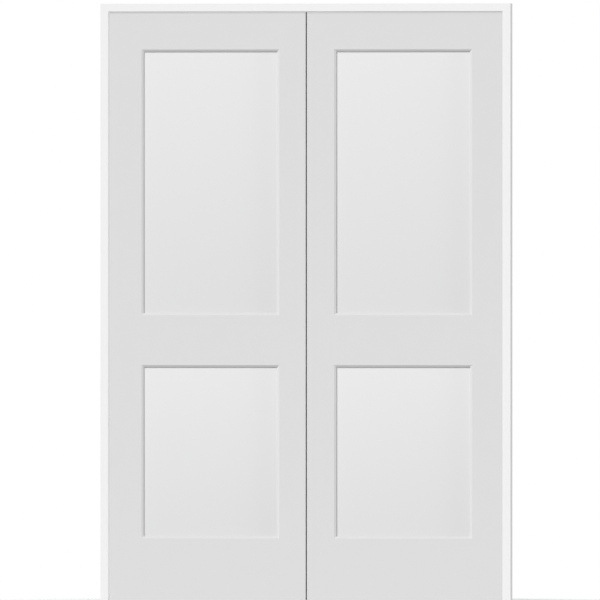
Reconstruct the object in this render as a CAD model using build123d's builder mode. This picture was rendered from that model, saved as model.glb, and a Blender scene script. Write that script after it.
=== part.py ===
from build123d import *
import os

# Double prehung interior door: two stile-and-rail leaves of two flat panels, hung in one jamb frame.
# Millimetres. X runs across the opening, Y from the stop side to the hinge side, and Z up from the floor.
# The origin is on the floor, in the middle of the overall width and depth.

# Leaves and the gaps round them
leaf_width = 684.2
leaf_height = 2032.0
leaf_thickness = 35.0
hinge_gap = 3.0
head_gap = 3.0
meeting_gap = 2.0
floor_gap = 12.7
meeting_bevel = 2.6
leaf_edge_ease = 1.0

# Stiles, rails and panels, measured at the face
hinge_stile_width = 115.0
meeting_stile_width = 93.5
top_rail_height = 135.0
lock_rail_height = 172.0
bottom_rail_height = 213.0
lower_opening_height = 597.0
sticking_run = 7.0
sticking_drop = 5.0
sticking_step = 5.0
groove_depth = 16.0
panel_clearance = 0.1
panel_room = 1.0

# Jamb frame, and the stop boards planted on it flush with its front
jamb_thickness = 19.0
jamb_depth = 116.0
jamb_edge_ease = 1.5
head_rabbet = 9.5
stop_thickness = 9.5
stop_clearance = 1.0

# Butt hinges
hinge_height = 88.9
hinge_leaf_thickness = 2.2
hinge_corner_radius = 15.9
hinge_backset = 5.0
pin_offset = 14.5
hinge_top_margin = 178.0
hinge_bottom_margin = 279.0
mortise_clearance = 0.2
knuckle_count = 3
knuckle_radius = 5.5
knuckle_gap = 0.4
pin_radius = 3.2
pin_clearance = 0.05
pin_head_radius = 4.8
pin_head_height = 2.5
pin_tail = 2.0

# Spring catches between the meeting stiles and the head
bolt_width = 10.0
bolt_thickness = 8.0
bolt_shoulder = 2.0
bolt_collar_height = 5.0
bolt_strike_gap = 0.3
bolt_clearance = 0.1
bolt_rest_gap = 0.3
case_wall = 2.0
case_depth = 26.0
faceplate_length = 44.0
faceplate_width = 20.0
faceplate_thickness = 1.6
strike_clearance = 1.0
strike_pocket_depth = 6.0

# How far a cut runs past the face that it opens
overrun = 2.0

# Places across the opening, from the middle outwards
hinge_edge = leaf_width + meeting_gap / 2
jamb_face = hinge_edge + hinge_gap
jamb_outside = jamb_face + jamb_thickness
pin_x = (hinge_edge + jamb_face) / 2

# Heights
leaf_bottom = floor_gap
leaf_top = leaf_bottom + leaf_height
head_underside = leaf_top + head_gap
overall_height = head_underside + jamb_thickness
bottom_sight = leaf_bottom + bottom_rail_height
lock_lower_sight = bottom_sight + lower_opening_height
lock_upper_sight = lock_lower_sight + lock_rail_height
top_sight = leaf_top - top_rail_height
lowest_hinge = leaf_bottom + hinge_bottom_margin
highest_hinge = leaf_top - hinge_top_margin - hinge_height
hinge_bottoms = {
    "lower": lowest_hinge,
    "middle": (lowest_hinge + highest_hinge) / 2,
    "upper": highest_hinge,
}
knuckle_length = (hinge_height - (knuckle_count - 1) * knuckle_gap) / knuckle_count

# Depths, from the stop side to the hinge side
hinge_seat = leaf_thickness - hinge_backset
overall_depth = jamb_depth + pin_offset + knuckle_radius
jamb_front = -overall_depth / 2
jamb_back = jamb_front + jamb_depth
jamb_middle = (jamb_front + jamb_back) / 2
leaf_back = jamb_back
leaf_front = leaf_back - leaf_thickness
leaf_middle = (leaf_front + leaf_back) / 2
pin_y = leaf_back + pin_offset
stop_depth = leaf_front - stop_clearance - jamb_front
recess_depth = sticking_drop + sticking_step
panel_thickness = leaf_thickness - 2 * recess_depth
groove_front = leaf_front + recess_depth - panel_clearance
groove_back = leaf_back - recess_depth + panel_clearance

# How far the floor of a panel groove lies behind the sight edge at the face
groove_reach = groove_depth - sticking_run

# The catch stands in the middle of the meeting stile
catch_inset = meeting_stile_width / 2
cavity_width = bolt_width + 2 * (bolt_shoulder + bolt_clearance)
cavity_thickness = bolt_thickness + 2 * bolt_clearance
case_width = cavity_width + 2 * case_wall
case_thickness = cavity_thickness + 2 * case_wall
case_bottom = leaf_top - faceplate_thickness - case_depth
bolt_tip = head_underside - bolt_strike_gap

LEFT, RIGHT = -1, 1


def across(side, distance):
    """X of a place that lies a distance in from the hinge edge of the leaf on that side."""
    return side * (hinge_edge - distance)


def stuck_edge(sight, inward):
    """(place, depth) corners of a moulded edge, front to back: bevel, step and panel groove."""
    tip = sight + inward * sticking_run
    floor = sight - inward * groove_reach
    return [
        (sight, leaf_front),
        (tip, leaf_front + sticking_drop),
        (tip, groove_front),
        (floor, groove_front),
        (floor, groove_back),
        (tip, groove_back),
        (tip, leaf_back - sticking_drop),
        (sight, leaf_back),
    ]


def catch_rectangle(side, height, length, width, margin=0):
    """Level rectangle centred on the axis of the catch, larger all round by a margin."""
    with BuildSketch(Plane.XY.offset(height)) as rectangle:
        with Locations((across(side, leaf_width - catch_inset), leaf_middle)):
            Rectangle(length + 2 * margin, width + 2 * margin)
    return rectangle.sketch


def hinge_leaf_outline(x, bottom, free_edge, clearance):
    """Outline across X of a hinge leaf or its mortise, its two corners in the wood rounded."""
    seat_edge = leaf_back - hinge_seat - clearance
    with BuildSketch(Plane.YZ.offset(x)) as outline:
        with Locations(((seat_edge + free_edge) / 2, bottom + hinge_height / 2)):
            Rectangle(free_edge - seat_edge, hinge_height + 2 * clearance)
        fillet(outline.vertices().group_by(Axis.X)[0], hinge_corner_radius + clearance)
    return outline.sketch


def keep(piece, name):
    """Labels a finished piece and writes its file."""
    piece.part.label = name
    export_step(piece.part, f"parts/{name}.step")


def make_stile(outer_front, outer_back, sight, inward):
    """Stile section in plan, with eased outer corners, run up the height of the leaf."""
    with BuildPart() as stile:
        with BuildSketch(Plane.XY.offset(leaf_bottom)) as section:
            with BuildLine():
                Polyline(
                    (outer_front, leaf_front),
                    *stuck_edge(sight, inward),
                    (outer_back, leaf_back),
                    close=True,
                )
            make_face()
            outer_corners = section.vertices().sort_by(Axis.X, reverse=inward < 0)[:2]
            chamfer(outer_corners, leaf_edge_ease)
        extrude(amount=leaf_height)
    return stile


def make_hinge_stile(side):
    """Outer stile, mortised for the hinge leaves."""
    edge = across(side, 0)
    blank = make_stile(edge, edge, across(side, hinge_stile_width), -side)
    with BuildPart() as stile:
        add(blank.part)
        for bottom in hinge_bottoms.values():
            mortise = hinge_leaf_outline(edge, bottom, leaf_back + overrun, mortise_clearance)
            extrude(mortise, amount=-side * hinge_leaf_thickness, mode=Mode.SUBTRACT)
    return stile


def make_meeting_stile(side):
    """Inner stile, mortised at the top for the catch. The left one is bevelled to clear the other leaf."""
    bevel = meeting_bevel if side == LEFT else 0
    outer_back = across(side, leaf_width)
    outer_front = across(side, leaf_width - bevel)
    sight = across(side, leaf_width - meeting_stile_width)
    blank = make_stile(outer_front, outer_back, sight, side)
    with BuildPart() as stile:
        add(blank.part)
        plate_seat = catch_rectangle(side, leaf_top, faceplate_length, faceplate_width, mortise_clearance)
        extrude(plate_seat, amount=-faceplate_thickness, mode=Mode.SUBTRACT)
        case_hole = catch_rectangle(side, leaf_top, case_width, case_thickness, mortise_clearance)
        extrude(case_hole, amount=case_bottom - leaf_top, mode=Mode.SUBTRACT)
    return stile


def make_rail(side, section_points, stiles):
    """Rail section run from groove floor to groove floor, its ends coped over the stile mouldings."""
    hinge_end = across(side, hinge_stile_width - groove_reach)
    meeting_end = across(side, leaf_width - meeting_stile_width + groove_reach)
    with BuildPart() as rail:
        with BuildSketch(Plane.YZ.offset(min(hinge_end, meeting_end))):
            with BuildLine():
                Polyline(*[(depth, height) for height, depth in section_points], close=True)
            make_face()
        extrude(amount=abs(hinge_end - meeting_end))
        for stile in stiles:
            add(stile.part, mode=Mode.SUBTRACT)
    return rail


def make_panel(side, lower_sight, upper_sight):
    """Flat panel, loose in the grooves by the room left for it to swell."""
    margin = groove_reach - panel_room
    hinge_end = across(side, hinge_stile_width - margin)
    meeting_end = across(side, leaf_width - meeting_stile_width + margin)
    with BuildPart() as panel:
        with BuildSketch(Plane.XZ.offset(-leaf_middle)):
            with Locations(((hinge_end + meeting_end) / 2, (lower_sight + upper_sight) / 2)):
                Rectangle(abs(hinge_end - meeting_end), upper_sight - lower_sight + 2 * margin)
        extrude(amount=panel_thickness / 2, both=True)
    return panel


def make_hinge_leaf(side, face, into, bottom, first_knuckle):
    """Hinge leaf let into one face, with every other knuckle of the barrel, bored for the pin."""
    straight_edge = pin_y - knuckle_radius - knuckle_gap
    upright = (Align.CENTER, Align.CENTER, Align.MIN)
    with BuildPart() as leaf:
        extrude(hinge_leaf_outline(face, bottom, straight_edge, 0), amount=into * hinge_leaf_thickness)
        for turn in range(first_knuckle, knuckle_count, 2):
            knuckle_bottom = bottom + turn * (knuckle_length + knuckle_gap)
            with Locations((face + into * hinge_leaf_thickness / 2, straight_edge, knuckle_bottom)):
                Box(
                    hinge_leaf_thickness,
                    pin_y - straight_edge,
                    knuckle_length,
                    align=(Align.CENTER, Align.MIN, Align.MIN),
                )
            with Locations((side * pin_x, pin_y, knuckle_bottom)):
                Cylinder(knuckle_radius, knuckle_length, align=upright)
        with Locations((side * pin_x, pin_y, bottom)):
            Cylinder(pin_radius + pin_clearance, hinge_height, align=upright, mode=Mode.SUBTRACT)
    return leaf


def make_hinge_pin(side, bottom):
    """Loose pin, hung by its head on the top knuckle, its tail just below the bottom one."""
    with BuildPart() as pin:
        with Locations((side * pin_x, pin_y, bottom + hinge_height)):
            Cylinder(pin_radius, hinge_height + pin_tail, align=(Align.CENTER, Align.CENTER, Align.MAX))
            Cylinder(pin_head_radius, pin_head_height, align=(Align.CENTER, Align.CENTER, Align.MIN))
    return pin


def make_catch_case(side):
    """Case under a faceplate that is flush with the top of the leaf and holds the bolt in."""
    plate_underside = leaf_top - faceplate_thickness
    with BuildPart() as case:
        extrude(
            catch_rectangle(side, plate_underside, faceplate_length, faceplate_width),
            amount=faceplate_thickness,
        )
        extrude(catch_rectangle(side, case_bottom, case_width, case_thickness), amount=case_depth)
        extrude(
            catch_rectangle(side, case_bottom + case_wall, cavity_width, cavity_thickness),
            amount=case_depth - case_wall,
            mode=Mode.SUBTRACT,
        )
        extrude(
            catch_rectangle(side, plate_underside, bolt_width, bolt_thickness, bolt_clearance),
            amount=faceplate_thickness,
            mode=Mode.SUBTRACT,
        )
    return case


def make_catch_bolt(side):
    """Round-nosed bolt set back to just clear the strike, its collar stopped under the faceplate."""
    nose_radius = bolt_thickness / 2
    collar_top = leaf_top - faceplate_thickness - bolt_rest_gap
    collar_bottom = collar_top - bolt_collar_height
    nose_start = bolt_tip - nose_radius
    axis_x = across(side, leaf_width - catch_inset)
    with BuildPart() as bolt:
        with BuildSketch(Plane.YZ.offset(axis_x)):
            with Locations((leaf_middle, (collar_bottom + nose_start) / 2)):
                Rectangle(bolt_thickness, nose_start - collar_bottom)
            with Locations((leaf_middle, nose_start)):
                Circle(nose_radius)
        extrude(amount=bolt_width / 2, both=True)
        collar = catch_rectangle(side, collar_bottom, bolt_width + 2 * bolt_shoulder, bolt_thickness)
        extrude(collar, amount=bolt_collar_height)
    return bolt


def make_catch_strike(side):
    """Strike plate flush with the underside of the head, holed for the bolt."""
    with BuildPart() as strike:
        extrude(
            catch_rectangle(side, head_underside, faceplate_length, faceplate_width),
            amount=faceplate_thickness,
        )
        extrude(
            catch_rectangle(side, head_underside, bolt_width, bolt_thickness, strike_clearance),
            amount=faceplate_thickness,
            mode=Mode.SUBTRACT,
        )
    return strike


def make_jamb_leg(side):
    """Upright board, rabbeted for the head, mortised for the hinges, eased where no stop meets it."""
    with BuildPart() as leg:
        with BuildSketch() as section:
            with Locations((side * (jamb_face + jamb_outside) / 2, jamb_middle)):
                Rectangle(jamb_thickness, jamb_depth)
            front, back = section.vertices().group_by(Axis.Y)
            outer_front = front.sort_by(Axis.X, reverse=side < 0)[-1]
            chamfer([outer_front, *back], jamb_edge_ease)
        extrude(amount=overall_height)
        with BuildSketch(Plane.XY.offset(head_underside)):
            with Locations((side * (jamb_face + (head_rabbet - overrun) / 2), jamb_middle)):
                Rectangle(head_rabbet + overrun, jamb_depth + overrun)
        extrude(amount=jamb_thickness + overrun, mode=Mode.SUBTRACT)
        for bottom in hinge_bottoms.values():
            mortise = hinge_leaf_outline(side * jamb_face, bottom, jamb_back + overrun, mortise_clearance)
            extrude(mortise, amount=side * hinge_leaf_thickness, mode=Mode.SUBTRACT)
    return leg


def make_head_jamb():
    """Head board from rabbet to rabbet, eased like the legs and cut out underneath for the catch strikes."""
    with BuildPart() as head:
        with BuildSketch(Plane.YZ.offset(-jamb_face - head_rabbet)) as section:
            with Locations((jamb_middle, (head_underside + overall_height) / 2)):
                Rectangle(jamb_depth, jamb_thickness)
            front, back = section.vertices().group_by(Axis.X)
            chamfer([front.sort_by(Axis.Y)[-1], *back], jamb_edge_ease)
        extrude(amount=2 * (jamb_face + head_rabbet))
        for side in (LEFT, RIGHT):
            seat = catch_rectangle(side, head_underside, faceplate_length, faceplate_width, mortise_clearance)
            extrude(seat, amount=faceplate_thickness, mode=Mode.SUBTRACT)
            pocket = catch_rectangle(side, head_underside, bolt_width, bolt_thickness, strike_clearance)
            extrude(pocket, amount=faceplate_thickness + strike_pocket_depth, mode=Mode.SUBTRACT)
    return head


def make_side_stop(side):
    """Upright stop board, mitred at the top, its exposed front corner eased."""
    inner = side * (jamb_face - stop_thickness)
    outer = side * jamb_face
    with BuildPart() as stop:
        with BuildSketch(Plane.XZ.offset(-jamb_front)):
            with BuildLine():
                Polyline(
                    (outer, 0),
                    (inner, 0),
                    (inner, head_underside - stop_thickness),
                    (outer, head_underside),
                    close=True,
                )
            make_face()
        extrude(amount=-stop_depth)
        front_edges = stop.edges().filter_by(Axis.Z).group_by(Axis.Y)[0]
        chamfer(front_edges.sort_by(Axis.X, reverse=side < 0)[0], jamb_edge_ease)
    return stop


def make_head_stop():
    """Stop board across the head, mitred at both ends."""
    inner = jamb_face - stop_thickness
    with BuildPart() as stop:
        with BuildSketch(Plane.XZ.offset(-jamb_front)):
            with BuildLine():
                Polyline(
                    (-jamb_face, head_underside),
                    (-inner, head_underside - stop_thickness),
                    (inner, head_underside - stop_thickness),
                    (jamb_face, head_underside),
                    close=True,
                )
            make_face()
        extrude(amount=-stop_depth)
        front_edges = stop.edges().filter_by(Axis.X).group_by(Axis.Y)[0]
        chamfer(front_edges.sort_by(Axis.Z)[0], jamb_edge_ease)
    return stop


def make_leaf(side, name):
    """All pieces of one leaf: stiles, coped rails, panels, hinge leaves and catch."""
    hinge_stile = make_hinge_stile(side)
    meeting_stile = make_meeting_stile(side)
    stiles = (hinge_stile, meeting_stile)
    top_section = [(leaf_top, leaf_front), *stuck_edge(top_sight, -1), (leaf_top, leaf_back)]
    lock_section = stuck_edge(lock_upper_sight, 1) + stuck_edge(lock_lower_sight, -1)[::-1]
    bottom_section = [(leaf_bottom, leaf_front), *stuck_edge(bottom_sight, 1), (leaf_bottom, leaf_back)]
    keep(hinge_stile, f"{name}_hinge_stile")
    keep(meeting_stile, f"{name}_meeting_stile")
    keep(make_rail(side, top_section, stiles), f"{name}_top_rail")
    keep(make_rail(side, lock_section, stiles), f"{name}_lock_rail")
    keep(make_rail(side, bottom_section, stiles), f"{name}_bottom_rail")
    keep(make_panel(side, lock_upper_sight, top_sight), f"{name}_upper_panel")
    keep(make_panel(side, bottom_sight, lock_lower_sight), f"{name}_lower_panel")
    for place, bottom in hinge_bottoms.items():
        door_leaf = make_hinge_leaf(side, side * hinge_edge, -side, bottom, first_knuckle=1)
        keep(door_leaf, f"{name}_{place}_door_hinge_leaf")
    keep(make_catch_case(side), f"{name}_catch_case")
    keep(make_catch_bolt(side), f"{name}_catch_bolt")


def make_frame_side(side, name):
    """The pieces of the frame that stand or lie on one side of the opening."""
    keep(make_jamb_leg(side), f"{name}_jamb_leg")
    keep(make_side_stop(side), f"{name}_stop")
    for place, bottom in hinge_bottoms.items():
        jamb_leaf = make_hinge_leaf(side, side * jamb_face, side, bottom, first_knuckle=0)
        keep(jamb_leaf, f"{name}_{place}_jamb_hinge_leaf")
        keep(make_hinge_pin(side, bottom), f"{name}_{place}_hinge_pin")
    keep(make_catch_strike(side), f"{name}_catch_strike")


os.makedirs("parts", exist_ok=True)
keep(make_head_jamb(), "head_jamb")
keep(make_head_stop(), "head_stop")
for side, name in ((LEFT, "left"), (RIGHT, "right")):
    make_frame_side(side, name)
    make_leaf(side, name)
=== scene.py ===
"""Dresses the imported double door: paint, satin nickel hinges and catches, screws, studio and camera."""

import math

import bmesh
import bpy
from mathutils import Matrix, Vector


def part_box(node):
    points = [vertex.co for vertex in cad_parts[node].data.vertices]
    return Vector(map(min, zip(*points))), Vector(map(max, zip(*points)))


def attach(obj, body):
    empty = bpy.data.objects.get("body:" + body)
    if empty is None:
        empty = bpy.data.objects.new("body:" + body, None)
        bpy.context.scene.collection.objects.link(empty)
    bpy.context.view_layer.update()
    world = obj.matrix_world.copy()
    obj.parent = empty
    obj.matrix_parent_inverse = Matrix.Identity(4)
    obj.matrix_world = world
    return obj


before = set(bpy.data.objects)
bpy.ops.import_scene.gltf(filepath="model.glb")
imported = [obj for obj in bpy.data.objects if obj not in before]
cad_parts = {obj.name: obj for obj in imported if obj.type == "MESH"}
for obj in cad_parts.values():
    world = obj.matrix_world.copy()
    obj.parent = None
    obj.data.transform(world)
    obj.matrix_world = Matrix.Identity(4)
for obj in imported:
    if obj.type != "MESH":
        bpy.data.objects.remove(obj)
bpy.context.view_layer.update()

bl_info = {
    "name": "Double Door Dressing",
    "version": (1, 0, 0),
    "blender": (4, 5, 0),
    "location": "View3D > Sidebar > Double Door",
    "description": "Paints a prehung double door, finishes its hinges and catches and sets up a studio",
    "category": "Object",
}

SIDES = ("left", "right")
HINGE_PLACES = ("lower", "middle", "upper")
PANELS = ("upper_panel", "lower_panel")
LEAF_BOARDS = ("hinge_stile", "meeting_stile", "top_rail", "lock_rail", "bottom_rail")

FULL_TURN = 2 * math.pi
# Radians that each screw is turned further than the one before
SCREW_TURN = 0.7
FINE_DETAIL = 2.0
MOTTLE_DETAIL = 3.0
NOISE_MIDDLE = 0.5
WHITE = (1.0, 1.0, 1.0)


class DoorPaintSettings(bpy.types.PropertyGroup):
    """Colours and texture of the painted boards"""

    # Painted shade: the stiles and rails are painted darker than the frame's same white primer, for leaves
    # set back in the frame
    leaf_painted_shade_colour: bpy.props.FloatVectorProperty(
        name="Leaf Colour",
        description="Primer white of the stiles and rails",
        subtype="COLOR",
        size=3,
        min=0.0,
        max=1.0,
        default=(0.708, 0.708, 0.708),
    )
    # Painted light: the panels' upper left corner is painted lighter than the stiles and rails
    panel_painted_light_colour: bpy.props.FloatVectorProperty(
        name="Panel Light Colour",
        description="Primer white of the panels in their upper left corner",
        subtype="COLOR",
        size=3,
        min=0.0,
        max=1.0,
        default=(0.805, 0.805, 0.805),
    )
    # Painted shade: towards their lower right corner the panels fade to this darker white
    panel_painted_shade_colour: bpy.props.FloatVectorProperty(
        name="Panel Shade Colour",
        description="Primer white of the panels in their lower right corner",
        subtype="COLOR",
        size=3,
        min=0.0,
        max=1.0,
        default=(0.707, 0.708, 0.710),
    )
    # Slant of the panels' painted light and shade
    panel_painted_shade_slant: bpy.props.FloatProperty(
        name="Panel Slant",
        description="Share of the panels' fading that runs across them and not down",
        min=0.0,
        max=1.0,
        default=0.12,
    )
    frame_colour: bpy.props.FloatVectorProperty(
        name="Frame Colour",
        description="Primer white of the jambs and stops",
        subtype="COLOR",
        size=3,
        min=0.0,
        max=1.0,
        default=(0.862, 0.862, 0.862),
    )
    roughness: bpy.props.FloatProperty(
        name="Roughness",
        description="Roughness of the primer",
        min=0.0,
        max=1.0,
        default=0.55,
    )
    mottle_size: bpy.props.FloatProperty(
        name="Mottle Size",
        description="Size of the patches where the primer lies thinner or thicker",
        unit="LENGTH",
        min=0.001,
        default=0.06,
    )
    mottle_depth: bpy.props.FloatProperty(
        name="Mottle Depth",
        description="Share by which the thinnest primer is darker",
        min=0.0,
        max=1.0,
        default=0.015,
    )
    mottle_gloss: bpy.props.FloatProperty(
        name="Mottle Gloss",
        description="How far the mottling changes the roughness",
        min=0.0,
        max=1.0,
        default=0.15,
    )
    stipple_size: bpy.props.FloatProperty(
        name="Stipple Size",
        description="Size of the fine stipple that spraying leaves in the primer",
        unit="LENGTH",
        min=0.0001,
        default=0.0015,
    )
    stipple_height: bpy.props.FloatProperty(
        name="Stipple Height",
        description="Height of the stipple",
        unit="LENGTH",
        min=0.0,
        default=0.00006,
    )


class DoorHardwareSettings(bpy.types.PropertyGroup):
    """Finish of the hinges and catches, and sizes of their screws"""

    nickel_colour: bpy.props.FloatVectorProperty(
        name="Nickel Colour",
        description="Colour of the satin nickel",
        subtype="COLOR",
        size=3,
        min=0.0,
        max=1.0,
        default=(0.56, 0.54, 0.50),
    )
    nickel_roughness: bpy.props.FloatProperty(
        name="Nickel Roughness",
        description="Roughness of the satin nickel",
        min=0.0,
        max=1.0,
        default=0.30,
    )
    grain_spacing: bpy.props.FloatVectorProperty(
        name="Grain Spacing",
        description="Length of the brush marks in the nickel along each axis",
        subtype="XYZ",
        unit="LENGTH",
        size=3,
        min=0.0001,
        default=(0.0006, 0.0006, 0.02),
    )
    grain_contrast: bpy.props.FloatProperty(
        name="Grain Contrast",
        description="How far the brush marks change the roughness",
        min=0.0,
        max=1.0,
        default=0.16,
    )
    edge_ease: bpy.props.FloatProperty(
        name="Edge Ease",
        description="Width of the eased edges of hinge leaves, pins and plates",
        unit="LENGTH",
        min=0.0,
        default=0.0003,
    )
    hinge_screw_radius: bpy.props.FloatProperty(
        name="Hinge Screw Radius",
        description="Radius of the heads of the hinge screws",
        unit="LENGTH",
        min=0.001,
        default=0.0042,
    )
    plate_screw_radius: bpy.props.FloatProperty(
        name="Plate Screw Radius",
        description="Radius of the heads of the screws in faceplates and strikes",
        unit="LENGTH",
        min=0.001,
        default=0.0030,
    )
    screw_height: bpy.props.FloatProperty(
        name="Screw Height",
        description="How far a screw head stands above its plate",
        unit="LENGTH",
        min=0.0001,
        default=0.00045,
    )


class StudioSettings(bpy.types.PropertyGroup):
    """Lights, floor and camera"""

    ambient: bpy.props.FloatProperty(
        name="Ambient",
        description="Strength of the even light that reaches matt surfaces",
        min=0.0,
        default=0.31,
    )
    mirrored_front: bpy.props.FloatProperty(
        name="Mirrored Front",
        description="Strength of the studio's front and back walls in glossy surfaces",
        min=0.0,
        default=0.35,
    )
    mirrored_sides: bpy.props.FloatProperty(
        name="Mirrored Sides",
        description="Strength of the studio's side walls in glossy surfaces",
        min=0.0,
        default=1.1,
    )
    floor_radius: bpy.props.FloatProperty(
        name="Floor Radius",
        description="Radius at which the floor has faded out",
        unit="LENGTH",
        min=0.1,
        default=1.5,
    )
    floor_fade_share: bpy.props.FloatProperty(
        name="Floor Fade Share",
        description="Share of the floor's radius at which it begins to fade",
        min=0.0,
        max=1.0,
        default=0.55,
    )
    floor_colour: bpy.props.FloatVectorProperty(
        name="Floor Colour",
        description="Pale grey of the floor",
        subtype="COLOR",
        size=3,
        min=0.0,
        max=1.0,
        default=(0.86, 0.86, 0.86),
    )
    floor_roughness: bpy.props.FloatProperty(
        name="Floor Roughness",
        description="Roughness of the floor",
        min=0.0,
        max=1.0,
        default=0.8,
    )
    camera_azimuth: bpy.props.FloatProperty(
        name="Camera Azimuth",
        description="How far to the right of the door the camera stands",
        subtype="ANGLE",
        default=math.radians(3.4),
    )
    camera_lens: bpy.props.FloatProperty(
        name="Camera Lens",
        description="Focal length of the camera in millimetres",
        min=1.0,
        default=1000.0,
    )
    view_width: bpy.props.FloatProperty(
        name="View Width",
        description="Width of the picture at the front of the frame",
        unit="LENGTH",
        min=0.1,
        default=2.0632,
    )
    view_centre: bpy.props.FloatVectorProperty(
        name="View Centre",
        description="Point at the front of the frame in the middle of the picture",
        subtype="TRANSLATION",
        unit="LENGTH",
        size=3,
        default=(-0.0184, -0.068, 1.0469),
    )


class Socket:
    """An output of a shader node. Arithmetic on it adds Math nodes."""

    def __init__(self, board, socket):
        self.board = board
        self.socket = socket

    def __add__(self, other):
        return self.board.maths("ADD", self, other)

    def __radd__(self, other):
        return self.board.maths("ADD", other, self)

    def __sub__(self, other):
        return self.board.maths("SUBTRACT", self, other)

    def __rsub__(self, other):
        return self.board.maths("SUBTRACT", other, self)

    def __mul__(self, other):
        return self.board.maths("MULTIPLY", self, other)

    def __rmul__(self, other):
        return self.board.maths("MULTIPLY", other, self)

    def __truediv__(self, other):
        return self.board.maths("DIVIDE", self, other)

    def __rtruediv__(self, other):
        return self.board.maths("DIVIDE", other, self)


class NodeBoard:
    """An emptied node tree that nodes are laid out on."""

    def __init__(self, owner):
        owner.use_nodes = True
        self.tree = owner.node_tree
        self.tree.nodes.clear()

    def node(self, kind, settings=None, sockets=None):
        """Adds a node with its settings, fills or links its sockets, and returns its outputs by name."""
        made = self.tree.nodes.new(kind)
        for name, value in (settings or {}).items():
            setattr(made, name, value)
        for name, value in (sockets or {}).items():
            if isinstance(value, Socket):
                self.tree.links.new(value.socket, made.inputs[name])
            else:
                made.inputs[name].default_value = value
        return {output.name: Socket(self, output) for output in made.outputs if output.enabled}

    def maths(self, operation, first, second):
        """Adds a Math node for one step of arithmetic."""
        return self.node("ShaderNodeMath", {"operation": operation}, {0: first, 1: second})["Value"]

    def clamped(self, value):
        """Holds a value between 0 and 1."""
        return self.node("ShaderNodeClamp", None, {"Value": value})["Result"]

    def smooth_step(self, value, low, high):
        """0 at low, 1 at high, and eased between them."""
        settings = {"interpolation_type": "SMOOTHSTEP"}
        sockets = {"Value": value, "From Min": low, "From Max": high}
        return self.node("ShaderNodeMapRange", settings, sockets)["Result"]

    def noise(self, place, scale, detail):
        """Soft noise between 0 and 1."""
        sockets = {"Vector": place, "Scale": scale, "Detail": detail}
        return self.node("ShaderNodeTexNoise", None, sockets)["Fac"]

    def mixed_colours(self, factor, first, second):
        """Blends two colours. Several sockets of the node share a name, so they are given by number."""
        sockets = {0: factor, 6: rgba(first), 7: rgba(second)}
        return self.node("ShaderNodeMix", {"data_type": "RGBA"}, sockets)["Result"]


def rgba(colour):
    """A colour with full opacity."""
    return (*colour, 1.0)


def sprayed_primer(name, colour, painted_shade=None):
    """Satin primer, stippled and mottled. With a painted shade, the colour runs to it from painted light in
    the upper left corner.
    """
    paint = bpy.context.scene.door_paint
    material = bpy.data.materials.new(name)
    board = NodeBoard(material)
    place = board.node("ShaderNodeTexCoord")
    stipple = board.noise(place["Object"], 1 / paint.stipple_size, FINE_DETAIL)
    bump = board.node(
        "ShaderNodeBump",
        None,
        {"Height": stipple, "Strength": 1.0, "Distance": paint.stipple_height},
    )
    mottle = board.noise(place["Object"], 1 / paint.mottle_size, MOTTLE_DETAIL)
    if painted_shade is None:
        thin = [(1 - paint.mottle_depth) * channel for channel in colour]
        tone = board.mixed_colours(mottle, thin, colour)
    else:
        # Painted light and shade: lighter towards the top and left of each panel, darker towards the bottom
        # and right
        corner = board.node("ShaderNodeSeparateXYZ", None, {"Vector": place["Generated"]})
        leftward = 1 - corner["X"]
        painted_light_share = board.clamped(paint.panel_painted_shade_slant * leftward + (1 - paint.panel_painted_shade_slant) * corner["Z"])
        tone = board.mixed_colours(painted_light_share, painted_shade, colour)
    roughness = paint.roughness + (mottle - NOISE_MIDDLE) * paint.mottle_gloss
    surface = board.node(
        "ShaderNodeBsdfPrincipled",
        None,
        {"Base Color": tone, "Roughness": roughness, "Normal": bump["Normal"]},
    )
    board.node("ShaderNodeOutputMaterial", None, {"Surface": surface["BSDF"]})
    return material


def satin_nickel(name):
    """Satin-plated metal, brushed upright."""
    hardware = bpy.context.scene.door_hardware
    material = bpy.data.materials.new(name)
    board = NodeBoard(material)
    place = board.node("ShaderNodeTexCoord")
    stretch = [1 / spacing for spacing in hardware.grain_spacing]
    marks = board.node("ShaderNodeMapping", None, {"Vector": place["Object"], "Scale": stretch})
    grain = board.noise(marks["Vector"], 1.0, FINE_DETAIL)
    surface = board.node(
        "ShaderNodeBsdfPrincipled",
        None,
        {
            "Base Color": rgba(hardware.nickel_colour),
            "Metallic": 1.0,
            "Roughness": hardware.nickel_roughness + (grain - NOISE_MIDDLE) * hardware.grain_contrast,
        },
    )
    board.node("ShaderNodeOutputMaterial", None, {"Surface": surface["BSDF"]})
    return material


def nickel():
    """The one satin nickel of hinges, catches and screws."""
    return bpy.data.materials.get("satin_nickel") or satin_nickel("satin_nickel")


def dress(node_name, material):
    """Gives a CAD node a new material."""
    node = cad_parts[node_name]
    for material_slot in node.material_slots:
        material_slot.material = material
    return node


def frame_board_names():
    """Names of the boards of the fixed frame."""
    names = ["head_jamb", "head_stop"]
    for side in SIDES:
        names += [f"{side}_jamb_leg", f"{side}_stop"]
    return names


def panel_names():
    """Names of the panels of both leaves."""
    return [f"{side}_{panel}" for side in SIDES for panel in PANELS]


def hardware_names():
    """Names of the hinge and catch pieces."""
    names = []
    for side in SIDES:
        names += [f"{side}_catch_strike", f"{side}_catch_case", f"{side}_catch_bolt"]
        for place in HINGE_PLACES:
            hinge = f"{side}_{place}"
            names += [f"{hinge}_jamb_hinge_leaf", f"{hinge}_door_hinge_leaf", f"{hinge}_hinge_pin"]
    return names


def add_ring(mesh, radius, height, angles):
    """A ring of vertices."""
    return [mesh.verts.new((radius * math.cos(a), radius * math.sin(a), height)) for a in angles]


def join_rings(mesh, lower, upper):
    """A band of faces between two closed rings."""
    count = len(lower)
    for i in range(count):
        j = (i + 1) % count
        mesh.faces.new((lower[i], lower[j], upper[j], upper[i]))


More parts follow.
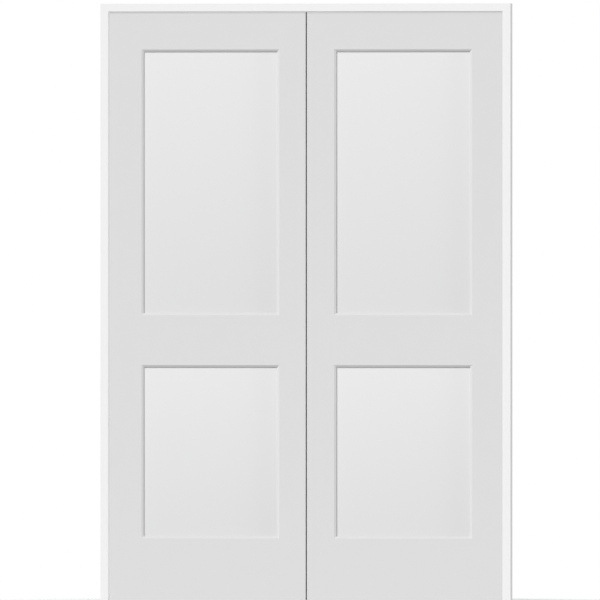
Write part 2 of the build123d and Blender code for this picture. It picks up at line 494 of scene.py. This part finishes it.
def add_screw_head(mesh, radius, height, seat):
    """A low round head with a cross recess, standing on z = 0 and moved to its seat."""
    sectors, tip_steps = 24, 1
    arms, arm_corners = 4, 3
    rim_share, crown_share = 0.55, 0.93
    arm_share, half_slot_share, recess_floor_share = 0.62, 0.13, 0.12
    quarter = sectors // arms
    angles = [FULL_TURN * i / sectors for i in range(sectors)]
    first = len(mesh.verts)
    foot = add_ring(mesh, radius, 0.0, angles)
    rim = add_ring(mesh, radius, height * rim_share, angles)
    crown = add_ring(mesh, radius * crown_share, height, angles)
    mesh.faces.new(foot[::-1])
    join_rings(mesh, foot, rim)
    join_rings(mesh, rim, crown)
    arm, half = radius * arm_share, radius * half_slot_share
    outline = []
    for turn in range(arms):
        spin = Matrix.Rotation(turn * FULL_TURN / arms, 3, "Z")
        corners = (Vector((arm, -half, 0)), Vector((arm, half, 0)), Vector((half, half, 0)))
        outline += [spin @ corner for corner in corners]
    top = [mesh.verts.new((p.x, p.y, height)) for p in outline]
    bottom = [mesh.verts.new((p.x, p.y, height * recess_floor_share)) for p in outline]
    mesh.faces.new(bottom)
    join_rings(mesh, bottom, top)
    for turn in range(arms):
        start = turn * quarter
        after = (turn + 1) * arm_corners
        low_tip, high_tip, inner = top[after - arm_corners : after]
        next_tip = top[after % len(top)]
        tip_arc = [crown[(start + k) % sectors] for k in range(-tip_steps, tip_steps + 1)]
        side_arc = [crown[(start + k) % sectors] for k in range(tip_steps, quarter - tip_steps + 1)]
        mesh.faces.new((*tip_arc, high_tip, low_tip))
        mesh.faces.new((*side_arc, next_tip, inner, high_tip))
    mesh.verts.ensure_lookup_table()
    for vertex in mesh.verts[first:]:
        vertex.co = seat @ vertex.co


def screw_set(name, body, seats, radius):
    """One object with a screw head at each seat, riding on a body."""
    height = bpy.context.scene.door_hardware.screw_height
    mesh = bmesh.new()
    for seat in seats:
        add_screw_head(mesh, radius, height, seat)
    bmesh.ops.recalc_face_normals(mesh, faces=mesh.faces)
    data = bpy.data.meshes.new(name)
    mesh.to_mesh(data)
    mesh.free()
    piece = bpy.data.objects.new(name, data)
    bpy.context.scene.collection.objects.link(piece)
    data.materials.append(nickel())
    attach(piece, body)
    return piece


def seat_on(point, normal, spin):
    """Matrix that stands a screw head on a point, facing a normal and turned by a spin."""
    facing = Vector(normal).to_track_quat("Z", "Y").to_matrix().to_4x4()
    return Matrix.Translation(point) @ facing @ Matrix.Rotation(spin, 4, "Z")


class DOOR_OT_paint_leaves(bpy.types.Operator):
    """Primes the stiles, rails and panels of both leaves"""

    bl_idname = "door.paint_leaves"
    bl_label = "Paint Leaves"

    def execute(self, context):
        paint = context.scene.door_paint
        # The stiles and rails carry painted shade: darker than the frame's same white primer
        boards = sprayed_primer("leaf_primer_painted_shade", paint.leaf_painted_shade_colour)
        # The panels carry painted light and shade, fading from their upper left corner
        panels = sprayed_primer("panel_primer_painted_shade", paint.panel_painted_light_colour, paint.panel_painted_shade_colour)
        for side in SIDES:
            for name in LEAF_BOARDS:
                dress(f"{side}_{name}", boards)
        for name in panel_names():
            dress(name, panels)
        return {"FINISHED"}


class DOOR_OT_paint_frame(bpy.types.Operator):
    """Primes the jambs and stops"""

    bl_idname = "door.paint_frame"
    bl_label = "Paint Frame"

    def execute(self, context):
        primer = sprayed_primer("frame_primer", context.scene.door_paint.frame_colour)
        for name in frame_board_names():
            dress(name, primer)
        return {"FINISHED"}


class DOOR_OT_plate_hardware(bpy.types.Operator):
    """Plates the hinges and catches and eases their edges"""

    bl_idname = "door.plate_hardware"
    bl_label = "Plate Hinges and Catches"

    ease_steps = 2
    sharpest_uneased = math.radians(40)

    def execute(self, context):
        ease = context.scene.door_hardware.edge_ease
        for name in hardware_names():
            node = dress(name, nickel())
            eased = node.modifiers.new("eased_edges", "BEVEL")
            eased.width = ease
            eased.segments = self.ease_steps
            eased.limit_method = "ANGLE"
            eased.angle_limit = self.sharpest_uneased
        return {"FINISHED"}


class DOOR_OT_drive_hinge_screws(bpy.types.Operator):
    """Drives the screws of all hinge leaves"""

    bl_idname = "door.drive_hinge_screws"
    bl_label = "Drive Hinge Screws"

    # Places on a hinge leaf: share of its height, and metres in from the edge of the board
    screw_places = ((0.18, 0.009), (0.50, 0.021), (0.82, 0.009))

    def execute(self, context):
        radius = context.scene.door_hardware.hinge_screw_radius
        for side, outward in zip(SIDES, (-1, 1)):
            inner = 0 if outward > 0 else 1
            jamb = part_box(f"{side}_jamb_leg")
            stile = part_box(f"{side}_hinge_stile")
            jamb_face = jamb[inner][0]
            stile_face = stile[1 - inner][0]
            board_edge = stile[1][1]
            for row, place in enumerate(HINGE_PLACES):
                low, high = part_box(f"{side}_{place}_jamb_hinge_leaf")
                for kind, face, normal, body in (
                    ("jamb", jamb_face, -outward, "frame"),
                    ("door", stile_face, outward, f"{side}_leaf"),
                ):
                    seats = []
                    for count, (share, inset) in enumerate(self.screw_places):
                        point = (face, board_edge - inset, low[2] + share * (high[2] - low[2]))
                        turns = row * len(self.screw_places) + count
                        seats.append(seat_on(point, (normal, 0, 0), turns * SCREW_TURN))
                    screw_set(f"{side}_{place}_{kind}_hinge_screws", body, seats, radius)
        return {"FINISHED"}


class DOOR_OT_drive_catch_screws(bpy.types.Operator):
    """Drives the screws of the catch faceplates and strikes"""

    bl_idname = "door.drive_catch_screws"
    bl_label = "Drive Catch Screws"

    # Metres from the ends of a plate
    end_margin = 0.006

    def execute(self, context):
        radius = context.scene.door_hardware.plate_screw_radius
        for side in SIDES:
            for kind, face, normal, body in (
                ("catch_case", 1, 1, f"{side}_leaf"),
                ("catch_strike", 0, -1, "frame"),
            ):
                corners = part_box(f"{side}_{kind}")
                depth = (corners[0][1] + corners[1][1]) / 2
                ends = (corners[0][0] + self.end_margin, corners[1][0] - self.end_margin)
                seats = [
                    seat_on((end, depth, corners[face][2]), (0, 0, normal), turns * SCREW_TURN)
                    for turns, end in enumerate(ends)
                ]
                screw_set(f"{side}_{kind}_screws", body, seats, radius)
        return {"FINISHED"}


class DOOR_OT_set_stage(bpy.types.Operator):
    """Lays the floor and sets the world and the lights"""

    bl_idname = "door.set_stage"
    bl_label = "Set Stage"

    # Name, direction to it, size in degrees, strength, and whether frame and hardware cast its shadows
    lights = (
        ("front_lamp", (0.0, -1.0, 0.07), 1.0, 0.42, True),
        ("key_lamp", (-0.51, -0.725, 0.465), 6.0, 2.47, False),
        ("right_lamp", (0.995, -0.10, 0.0), 8.0, 1.10, False),
        ("back_lamp", (-0.26, 0.89, 0.37), 8.0, 2.1, True),
    )
    floor_sides = 96

    def execute(self, context):
        self.set_world(context)
        self.lay_floor(context)
        self.hang_lights(context)
        context.scene.view_settings.view_transform = "Standard"
        return {"FINISHED"}

    def set_world(self, context):
        """White to the camera, even light on matt surfaces, and brighter side walls in glossy ones."""
        studio = context.scene.door_studio
        world = bpy.data.worlds.new("white_studio")
        context.scene.world = world
        board = NodeBoard(world)
        path = board.node("ShaderNodeLightPath")
        place = board.node("ShaderNodeTexCoord")
        across = board.node("ShaderNodeSeparateXYZ", None, {"Vector": place["Generated"]})["X"]
        sideways = across * across
        mirrored = studio.mirrored_front * (1 - sideways) + studio.mirrored_sides * sideways
        glossy = path["Is Glossy Ray"]
        seen = path["Is Camera Ray"]
        strength = seen + (1 - seen) * (glossy * mirrored + (1 - glossy) * studio.ambient)
        light = board.node("ShaderNodeBackground", None, {"Color": rgba(WHITE), "Strength": strength})
        board.node("ShaderNodeOutputWorld", None, {"Surface": light["Background"]})

    def lay_floor(self, context):
        """A round floor that fades out."""
        studio = context.scene.door_studio
        radius = studio.floor_radius
        mesh = bmesh.new()
        bmesh.ops.create_circle(mesh, cap_ends=True, segments=self.floor_sides, radius=radius)
        data = bpy.data.meshes.new("floor")
        mesh.to_mesh(data)
        mesh.free()
        floor = bpy.data.objects.new("floor", data)
        context.scene.collection.objects.link(floor)
        material = bpy.data.materials.new("pale_floor")
        board = NodeBoard(material)
        place = board.node("ShaderNodeTexCoord")
        reach = board.node("ShaderNodeVectorMath", {"operation": "LENGTH"}, {0: place["Object"]})["Value"]
        fade = board.smooth_step(reach, radius * studio.floor_fade_share, radius)
        pale = board.node(
            "ShaderNodeBsdfPrincipled",
            None,
            {
                "Base Color": rgba(studio.floor_colour),
                "Roughness": studio.floor_roughness,
                "Alpha": 1 - fade,
            },
        )
        board.node("ShaderNodeOutputMaterial", None, {"Surface": pale["BSDF"]})
        data.materials.append(material)
        floor.visible_diffuse = False
        floor.visible_shadow = False

    def hang_lights(self, context):
        """Hangs the lamps. For even light, frame and hardware cast no shadow from two of them."""
        shadeless = bpy.data.collections.new("shadeless_pieces")
        for name in frame_board_names() + hardware_names():
            shadeless.objects.link(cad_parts[name])
        for item in shadeless.collection_objects:
            item.light_linking.link_state = "EXCLUDE"
        # Light bounced off flat boards would wash out the mouldings beside them
        for name in frame_board_names() + panel_names():
            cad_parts[name].visible_diffuse = False
        for name, direction, size, strength, frame_shades in self.lights:
            lamp = bpy.data.lights.new(name, "SUN")
            lamp.energy = strength
            lamp.angle = math.radians(size)
            hung = bpy.data.objects.new(name, lamp)
            hung.rotation_mode = "QUATERNION"
            hung.rotation_quaternion = Vector(direction).to_track_quat("Z", "Y")
            # The nickel mirrors the studio's walls and not the lamps
            hung.visible_glossy = False
            context.scene.collection.objects.link(hung)
            if not frame_shades:
                hung.light_linking.blocker_collection = shadeless


class DOOR_OT_set_camera(bpy.types.Operator):
    """Stands the camera in front of the stop side"""

    bl_idname = "door.set_camera"
    bl_label = "Set Camera"

    sensor_width = 36.0
    # Shares of the camera's distance within which things are seen
    nearest, farthest = 0.01, 2.0

    def execute(self, context):
        studio = context.scene.door_studio
        data = bpy.data.cameras.new("camera")
        data.sensor_width = self.sensor_width
        data.lens = studio.camera_lens
        distance = studio.view_width * data.lens / data.sensor_width
        data.clip_start = distance * self.nearest
        data.clip_end = distance * self.farthest
        camera = bpy.data.objects.new("camera", data)
        back = Vector((math.sin(studio.camera_azimuth), -math.cos(studio.camera_azimuth), 0.0))
        camera.rotation_mode = "QUATERNION"
        camera.rotation_quaternion = (-back).to_track_quat("-Z", "Y")
        camera.location = Vector(studio.view_centre) + back * distance
        context.scene.collection.objects.link(camera)
        context.scene.camera = camera
        return {"FINISHED"}


OPERATORS = (
    DOOR_OT_set_camera,
    DOOR_OT_paint_leaves,
    DOOR_OT_paint_frame,
    DOOR_OT_plate_hardware,
    DOOR_OT_drive_hinge_screws,
    DOOR_OT_drive_catch_screws,
    DOOR_OT_set_stage,
)


class DOOR_PT_dressing(bpy.types.Panel):
    """Steps of the dressing, in order"""

    bl_idname = "DOOR_PT_dressing"
    bl_label = "Double Door"
    bl_space_type = "VIEW_3D"
    bl_region_type = "UI"
    bl_category = "Double Door"

    def draw(self, context):
        layout = self.layout
        for operator in OPERATORS:
            layout.operator(operator.bl_idname)
        for settings in (context.scene.door_paint, context.scene.door_hardware, context.scene.door_studio):
            column = layout.column()
            for name in settings.__annotations__:
                column.prop(settings, name)


SETTINGS = {
    "door_paint": DoorPaintSettings,
    "door_hardware": DoorHardwareSettings,
    "door_studio": StudioSettings,
}
CLASSES = (*SETTINGS.values(), *OPERATORS, DOOR_PT_dressing)


def register():
    for kind in CLASSES:
        bpy.utils.register_class(kind)
    for name, kind in SETTINGS.items():
        setattr(bpy.types.Scene, name, bpy.props.PointerProperty(type=kind))


def unregister():
    for name in SETTINGS:
        delattr(bpy.types.Scene, name)
    for kind in reversed(CLASSES):
        bpy.utils.unregister_class(kind)


def main():
    """Registers the add-on and dresses the door."""
    register()
    bpy.ops.door.set_camera()
    bpy.ops.door.paint_leaves()
    bpy.ops.door.paint_frame()
    bpy.ops.door.plate_hardware()
    bpy.ops.door.drive_hinge_screws()
    bpy.ops.door.drive_catch_screws()
    bpy.ops.door.set_stage()


if __name__ == "__main__":
    main()
